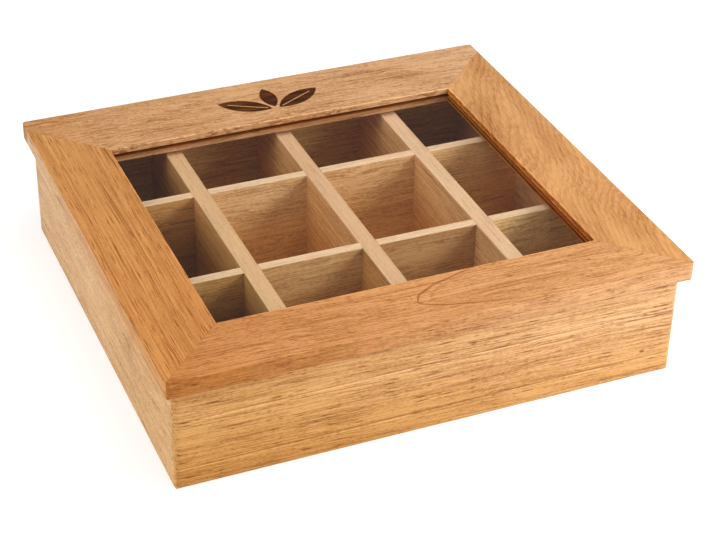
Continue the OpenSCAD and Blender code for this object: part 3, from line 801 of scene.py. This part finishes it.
class TEABOX_OT_base(Operator):
    """Finish the base panel"""
    bl_idname = "tea_box.base"
    bl_label = "Base"

    def execute(self, context):
        wood = context.scene.tea_box_wood
        Board("base_panel", wood.base, "x", "y", "z", 17, ring=0.3, vessel_fill=0.12).build(wood)
        return {"FINISHED"}


HEAD_ON = 0.04  # share of light that a pane reflects when looked at squarely
WAY_TO_GLANCING = 5.0  # power by which that share rises to all of the light at a glancing angle


class TEABOX_OT_window(Operator):
    """Finish the pane and the beads that hold it"""
    bl_idname = "tea_box.window"
    bl_label = "Window"

    def execute(self, context):
        scene = context.scene
        wood, fittings = scene.tea_box_wood, scene.tea_box_fittings
        sheet = Sheet("window_pane_clear")
        clear = sheet.out(sheet.node("ShaderNodeBsdfTransparent", {}, {0: (*fittings.pane, 1.0)}))
        shine = sheet.out(sheet.node("ShaderNodeBsdfPrincipled", {}, {
            "Metallic": 1.0, "Roughness": 0.03, "Base Color": WHITE}))
        glance = sheet.out(sheet.node("ShaderNodeLayerWeight"), 1)
        mirror = (glance ** WAY_TO_GLANCING * (1 - HEAD_ON) + HEAD_ON) * fittings.pane_shine
        pane = sheet.out(sheet.node("ShaderNodeMixShader", {}, {0: mirror, 1: clear, 2: shine}))
        sheet.node("ShaderNodeOutputMaterial", {}, {0: pane})
        dress("window_pane", sheet.material)
        for seed, (side, colour, grain, across, marks) in enumerate((
                ("front", wood.front_rail, "x", "y", bead_marks),
                ("back", wood.back_rail, "x", "y", bead_marks),
                ("left", wood.left_rail, "y", "x", side_bead_marks),
                ("right", wood.left_rail, "y", "x", side_bead_marks))):
            Board("glazing_bead_" + side, colour, grain, across, "z", 20 + seed).build(wood, marks)
        for corner in ("front_left", "front_right", "back_left", "back_right"):
            Board("mitre_tongue_" + corner, wood.base, "x", "y", "z", 25).build(wood)
        return {"FINISHED"}


def metal(name, colour):
    """Worn metal: fine scratches and cloudy patches."""
    sheet = Sheet(name)
    x, y, z = sheet.place()
    scratch = sheet.noise(sheet.vector(x * 0.6, y * 4, z * 4), detail=4.0, rough=0.7)
    cloud = sheet.noise(sheet.vector(x / 4, y / 4, z / 4))
    tinted = sheet.blend(sheet.rising(cloud, 0.35, 0.7) * 0.4, colour, tuple(0.6 * c for c in colour))
    return sheet.finish(tinted, 0.25 + scratch * 0.2, scratch, relief_mm=0.01, Metallic=1.0)


class TEABOX_OT_metalwork(Operator):
    """Finish the hinges, screws, brads and pins"""
    bl_idname = "tea_box.metalwork"
    bl_label = "Metalwork"

    def execute(self, context):
        fittings = context.scene.tea_box_fittings
        brass = metal("hinge_brass", tuple(fittings.brass))
        steel = metal("nail_steel", tuple(fittings.steel))
        for side in ("left", "right"):
            for part in ("hinge_box_leaf_", "hinge_lid_leaf_", "hinge_pin_", "box_leaf_screws_",
                         "lid_leaf_screws_"):
                dress(part + side, brass)
        dress("base_brads", steel)
        dress("bead_pins", steel)
        return {"FINISHED"}


# Studio

SENSOR_WIDTH = 36.0  # millimetres
FLOOR_HALF = 12.0  # metres, so that its edge stays out of sight at low angles
LIT_MIDDLE = (0.0, 0.0, 0.04)  # where the lamps point to, in metres
SOFTBOXES = (  # name, place and side in metres, and the setting that holds the power
    ("key_softbox", (0.8, -0.66, 0.55), 0.6, "key_power"),
    ("top_softbox", (0.1, -0.2, 1.7), 1.6, "top_power"),
    ("left_softbox", (-1.5, -0.1, 0.9), 1.2, "left_power"),
)


def softbox(name, place, side, power):
    """A square lamp at a place, turned to the box."""
    data = bpy.data.lights.new(name, "AREA")
    data.shape = "RECTANGLE"
    data.size = data.size_y = side
    data.energy = power
    lamp = bpy.data.objects.new(name, data)
    lamp.location = place
    lamp.rotation_euler = (Vector(LIT_MIDDLE) - Vector(place)).to_track_quat("-Z", "Y").to_euler()
    bpy.context.scene.collection.objects.link(lamp)


def lay_floor(studio):
    """A pale sheet that glows a little, as a lit table does."""
    half = FLOOR_HALF
    mesh = bpy.data.meshes.new("floor")
    mesh.from_pydata([(-half, -half, 0), (half, -half, 0), (half, half, 0), (-half, half, 0)], [],
                     [(0, 1, 2, 3)])
    floor = bpy.data.objects.new("floor", mesh)
    bpy.context.scene.collection.objects.link(floor)
    mesh.materials.append(Sheet("floor_paper").finish(tuple(studio.floor), 0.9, **{
        "Emission Color": WHITE, "Emission Strength": studio.glow}))


def fill_air(studio):
    """Even white light from all around."""
    world = bpy.data.worlds.new("studio_air")
    bpy.context.scene.world = world
    world.use_nodes = True
    background = world.node_tree.nodes["Background"]
    background.inputs["Color"].default_value = WHITE
    background.inputs["Strength"].default_value = studio.air


def set_camera(studio):
    """The reference view: the camera circles its target, and rolls about its line of sight."""
    azimuth, elevation, roll = studio.azimuth, studio.elevation, studio.roll
    back = Vector((math.sin(azimuth) * math.cos(elevation), -math.cos(azimuth) * math.cos(elevation),
                   math.sin(elevation)))
    right = Vector((math.cos(azimuth), math.sin(azimuth), 0.0))
    up = back.cross(right)
    turned_right = math.cos(roll) * right + math.sin(roll) * up
    turned_up = math.cos(roll) * up - math.sin(roll) * right
    data = bpy.data.cameras.new("reference_view")
    data.sensor_fit = "HORIZONTAL"
    data.sensor_width = SENSOR_WIDTH
    data.lens = studio.lens
    camera = bpy.data.objects.new("reference_view", data)
    turn = Matrix((turned_right, turned_up, back)).transposed().to_4x4()
    camera.matrix_world = Matrix.Translation(Vector(studio.target) + back * studio.distance) @ turn
    bpy.context.scene.collection.objects.link(camera)
    bpy.context.scene.camera = camera


class TEABOX_OT_studio(Operator):
    """Set the floor, the soft lights and the camera of the reference view"""
    bl_idname = "tea_box.studio"
    bl_label = "Studio"

    def execute(self, context):
        studio = context.scene.tea_box_studio
        context.scene.view_settings.view_transform = "Standard"
        lay_floor(studio)
        fill_air(studio)
        for name, place, side, power in SOFTBOXES:
            softbox(name, place, side, getattr(studio, power))
        set_camera(studio)
        return {"FINISHED"}


OPERATORS = (TEABOX_OT_lid_rails, TEABOX_OT_walls, TEABOX_OT_dividers, TEABOX_OT_base, TEABOX_OT_window,
             TEABOX_OT_metalwork, TEABOX_OT_studio)
SETTINGS = {"tea_box_wood": TEABOX_PG_wood, "tea_box_fittings": TEABOX_PG_fittings,
            "tea_box_studio": TEABOX_PG_studio}


class TEABOX_PT_panel(Panel):
    """Lists the steps and their settings"""
    bl_idname = "TEABOX_PT_panel"
    bl_label = "Compartment box"
    bl_space_type = "VIEW_3D"
    bl_region_type = "UI"
    bl_category = "Compartment box"

    def draw(self, context):
        for operator in OPERATORS:
            self.layout.operator(operator.bl_idname)
        for name, group in SETTINGS.items():
            box = self.layout.box()
            for setting in group.__annotations__:
                box.prop(getattr(context.scene, name), setting)


def register():
    for group in SETTINGS.values():
        bpy.utils.register_class(group)
    for operator in OPERATORS:
        bpy.utils.register_class(operator)
    bpy.utils.register_class(TEABOX_PT_panel)
    for name, group in SETTINGS.items():
        setattr(bpy.types.Scene, name, PointerProperty(type=group))


def unregister():
    for name in SETTINGS:
        delattr(bpy.types.Scene, name)
    bpy.utils.unregister_class(TEABOX_PT_panel)
    for operator in reversed(OPERATORS):
        bpy.utils.unregister_class(operator)
    for group in reversed(SETTINGS.values()):
        bpy.utils.unregister_class(group)


def main():
    register()
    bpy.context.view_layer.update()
    bpy.ops.tea_box.lid_rails()
    bpy.ops.tea_box.walls()
    bpy.ops.tea_box.dividers()
    bpy.ops.tea_box.base()
    bpy.ops.tea_box.window()
    bpy.ops.tea_box.metalwork()
    bpy.ops.tea_box.studio()


if __name__ == "__main__":
    main()
